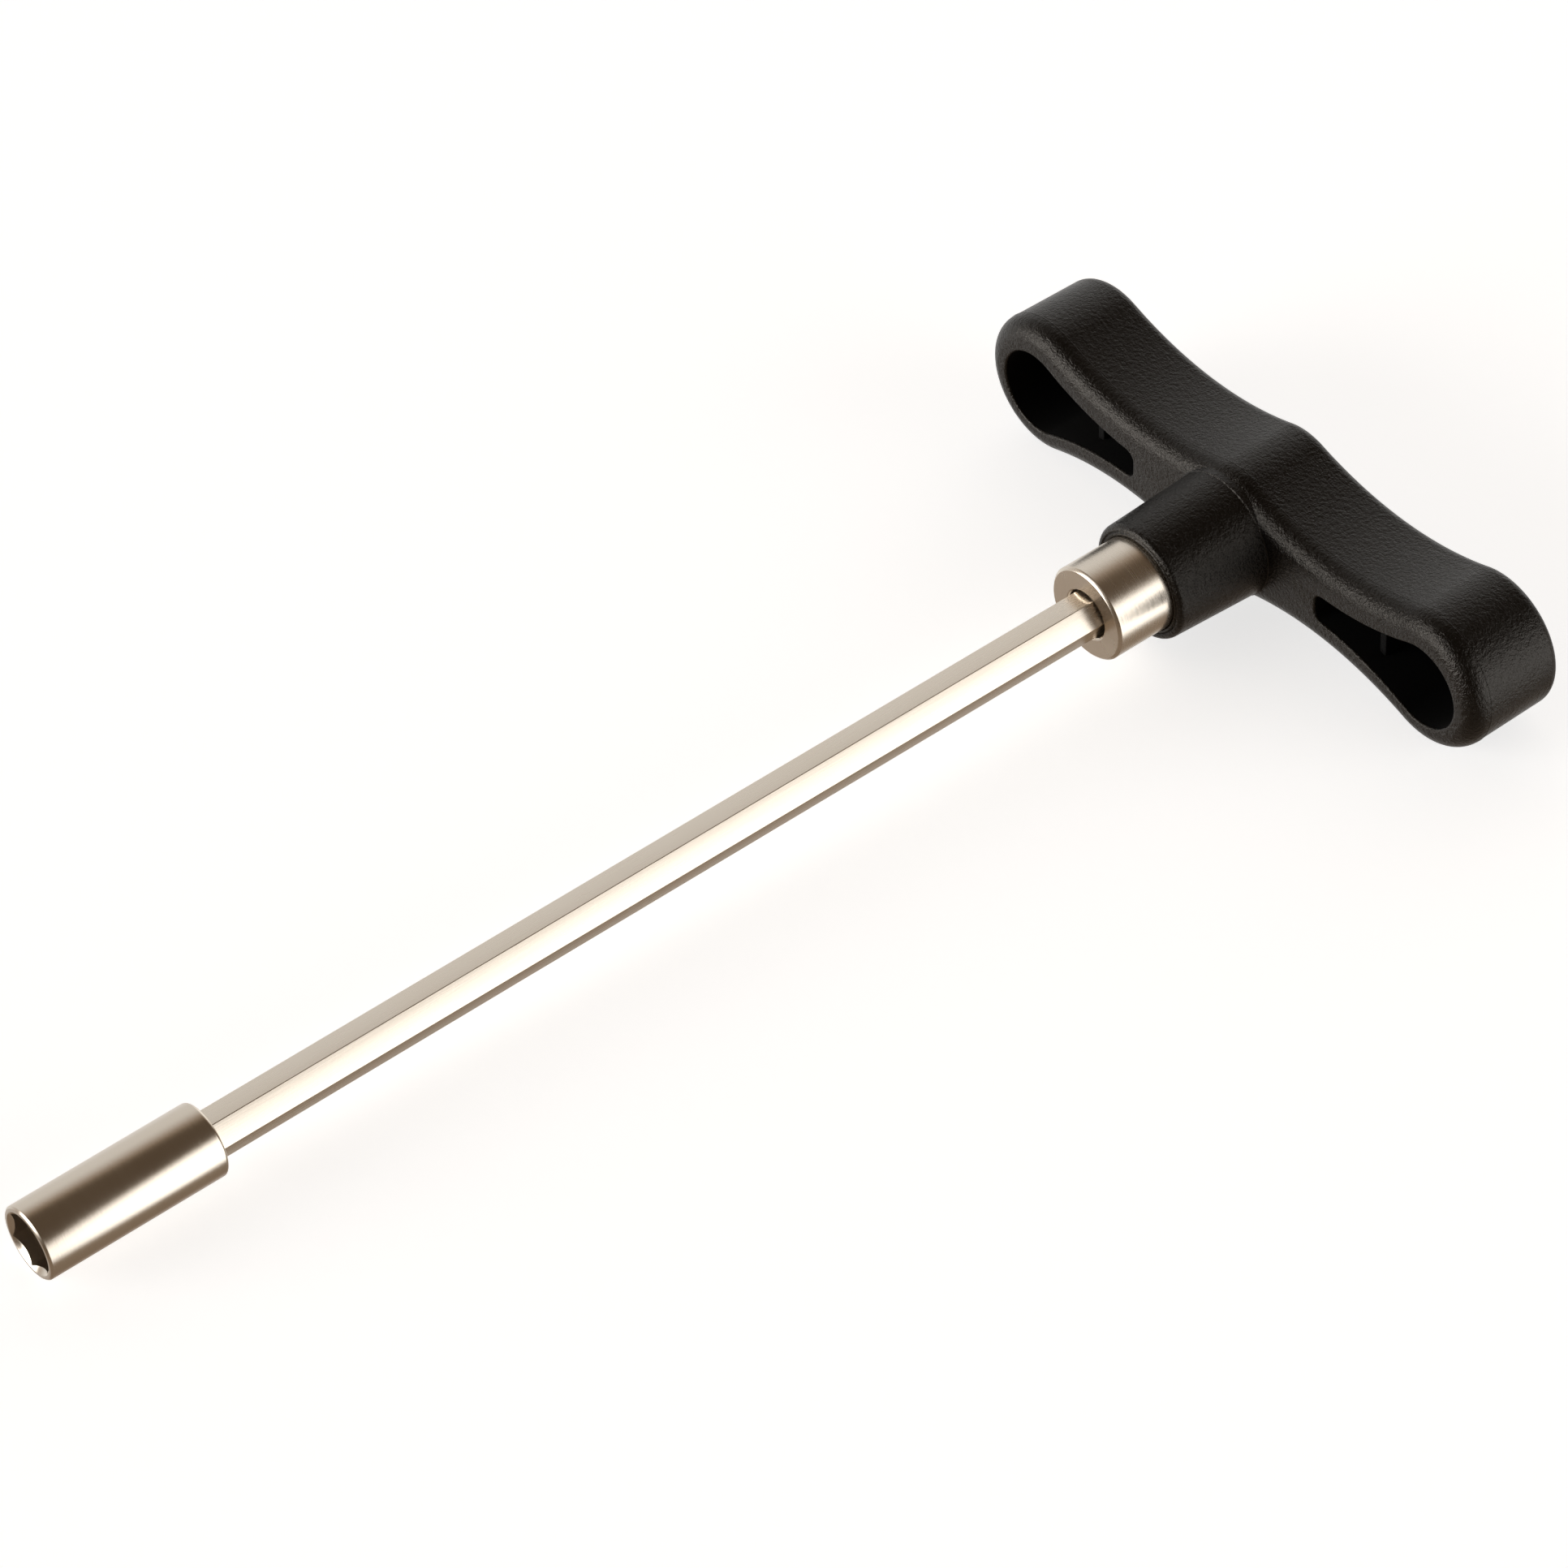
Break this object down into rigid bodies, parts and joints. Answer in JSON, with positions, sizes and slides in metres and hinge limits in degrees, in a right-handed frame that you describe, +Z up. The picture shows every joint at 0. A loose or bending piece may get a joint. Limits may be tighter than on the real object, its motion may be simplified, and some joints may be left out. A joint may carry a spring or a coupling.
{
  "type": "t-handle socket wrench",
  "caption": "Hand driver with a moulded T-handle, steel collar, long hexagon shaft and a round socket with a hexagon recess.",
  "frame": {"origin": "centre of the socket mouth, on the shaft axis", "axes": "+Y along the shaft from the socket toward the handle, X along the handle wings, +Z up with the tool lying flat"},
  "size_m": [0.106, 0.2246, 0.0228],
  "materials": {
    "handle_plastic": "fine spark-eroded mould grain",
    "collar_steel": "turned and nickel plated",
    "shaft_steel": "drawn bar, nickel plated",
    "socket_steel": "turned and nickel plated"
  },
  "bodies": {
    "root": {"handle": "handle_plastic", "collar": "collar_steel", "shaft": "shaft_steel", "socket": "socket_steel"}
  },
  "joints": []
}
